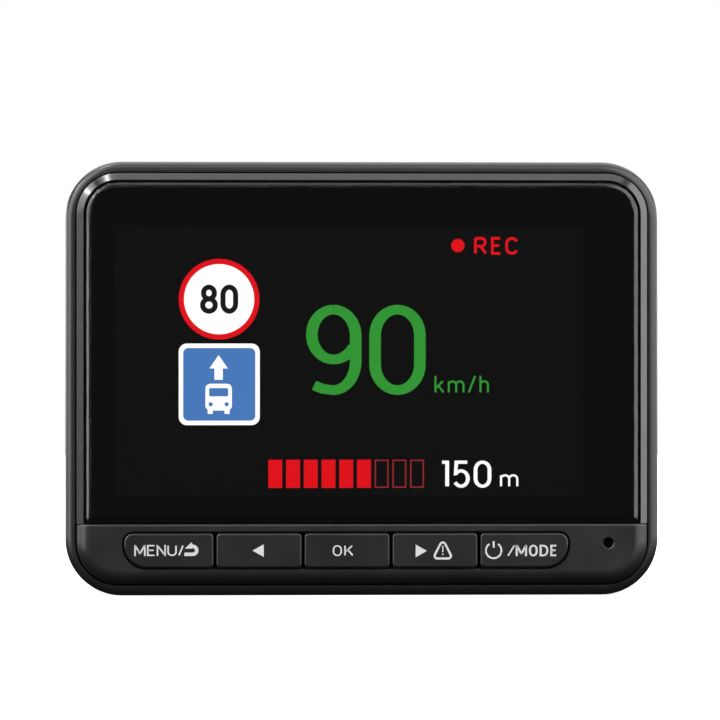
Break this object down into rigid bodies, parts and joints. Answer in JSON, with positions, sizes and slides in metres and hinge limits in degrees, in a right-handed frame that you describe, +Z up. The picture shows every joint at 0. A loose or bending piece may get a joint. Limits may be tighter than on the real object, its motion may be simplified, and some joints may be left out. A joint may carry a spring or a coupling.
{
  "type": "radar detector",
  "caption": "Windscreen radar detector with a wide colour display above a row of keys, and a recorder lens, radar cover, speaker grille and bracket slot on its back.",
  "frame": {"origin": "centre of the bounding box on the flat base", "axes": "+X to the right of the screen, +Y from the screen towards the recorder lens, +Z up; the screen faces -Y"},
  "size_m": [0.0754, 0.0344, 0.055],
  "materials": {
    "housing_plastic": "fine satin texture",
    "bezel_plastic": "piano gloss",
    "window_acrylic": "polished clear acrylic",
    "window_print": "black print bonded to the window",
    "panel_plastic": "satin",
    "key_plastic": "satin, printed legends",
    "switch_plastic": "moulded",
    "sheet_steel": "tinned sheet",
    "microphone_metal": "drawn can",
    "boot_rubber": "matt",
    "lcd_glass": "polarised display glass",
    "backlight_plastic": "white light guide",
    "ribbon_film": "amber film",
    "foam": "fine closed foam",
    "circuit_board": "green solder mask",
    "chip_epoxy": "moulded epoxy",
    "connector_plastic": "cream nylon",
    "coil_ferrite": "grey ferrite",
    "capacitor_ceramic": "tan ceramic",
    "pad_silicone": "soft silicone",
    "bare_aluminium": "extruded",
    "cell_foil": "laminate foil",
    "sensor_glass": "covered sensor",
    "lens_plastic": "anti-glare black",
    "lens_metal": "black anodised",
    "lens_glass": "coated glass",
    "trim_gloss": "gloss black",
    "die_cast_zinc": "die-cast",
    "antenna_ceramic": "fired ceramic",
    "silver_plate": "silver electrode",
    "magnet_steel": "plated cup",
    "cone_film": "formed film",
    "memory_card_plastic": "moulded",
    "contact_gold": "gold-faced",
    "screw_steel": "black zinc",
    "lead_insulation": "smooth"
  },
  "bodies": {
    "casing": {"rear_housing": "housing_plastic", "front_bezel": "bezel_plastic", "screen_window": "window_acrylic", "window_mask": "window_print", "button_panel": "panel_plastic", "key_switches": "switch_plastic", "key_switch_covers": "sheet_steel", "microphone": "microphone_metal", "microphone_boot": "boot_rubber", "lcd_panel": "lcd_glass", "lcd_backlight": "backlight_plastic", "lcd_frame": "sheet_steel", "lcd_ribbon": "ribbon_film", "foam_strips": "foam", "main_board": "circuit_board", "board_chips": "chip_epoxy", "board_connectors": "connector_plastic", "power_coils": "coil_ferrite", "board_capacitors": "capacitor_ceramic", "thermal_pad": "pad_silicone", "heat_sink": "bare_aluminium", "backup_battery": "cell_foil", "camera_board": "circuit_board", "image_sensor": "sensor_glass", "lens_holder": "lens_plastic", "lens_barrel": "lens_metal", "front_glass": "lens_glass", "inner_glasses": "lens_glass", "lens_spacer": "lens_plastic", "lens_trim_ring": "trim_gloss", "radar_board": "circuit_board", "radar_shield": "sheet_steel", "horn_antenna": "die_cast_zinc", "radar_cover": "trim_gloss", "antenna_patch": "antenna_ceramic", "antenna_plate": "silver_plate", "antenna_board": "circuit_board", "speaker_frame": "sheet_steel", "speaker_magnet": "magnet_steel", "speaker_cone": "cone_film", "usb_socket": "sheet_steel", "usb_tongue": "switch_plastic", "card_socket": "sheet_steel", "mount_socket": "panel_plastic", "mount_contacts": "contact_gold", "housing_screws": "screw_steel", "board_screws": "screw_steel", "internal_leads": "lead_insulation"},
    "menu_key": {"menu_key": "key_plastic", "menu_switch_plunger": "switch_plastic"},
    "left_key": {"left_key": "key_plastic", "left_switch_plunger": "switch_plastic"},
    "ok_key": {"ok_key": "key_plastic", "ok_switch_plunger": "switch_plastic"},
    "right_key": {"right_key": "key_plastic", "right_switch_plunger": "switch_plastic"},
    "power_key": {"power_key": "key_plastic", "power_switch_plunger": "switch_plastic"},
    "memory_card": {"memory_card": "memory_card_plastic"}
  },
  "joints": [
    {"name": "menu_key_press", "type": "slide", "parent": "casing", "child": "menu_key", "axis": [0, 1, 0], "range_m": [0, 0.00035], "stiffness_N_per_m": 2000, "springref_m": -0.0003},
    {"name": "left_key_press", "type": "slide", "parent": "casing", "child": "left_key", "axis": [0, 1, 0], "range_m": [0, 0.00035], "stiffness_N_per_m": 2000, "springref_m": -0.0003},
    {"name": "ok_key_press", "type": "slide", "parent": "casing", "child": "ok_key", "axis": [0, 1, 0], "range_m": [0, 0.00035], "stiffness_N_per_m": 2000, "springref_m": -0.0003},
    {"name": "right_key_press", "type": "slide", "parent": "casing", "child": "right_key", "axis": [0, 1, 0], "range_m": [0, 0.00035], "stiffness_N_per_m": 2000, "springref_m": -0.0003},
    {"name": "power_key_press", "type": "slide", "parent": "casing", "child": "power_key", "axis": [0, 1, 0], "range_m": [0, 0.00035], "stiffness_N_per_m": 2000, "springref_m": -0.0003},
    {"name": "memory_card_slide", "type": "slide", "parent": "casing", "child": "memory_card", "axis": [-1, 0, 0], "range_m": [-0.0008, 0.014]}
  ]
}
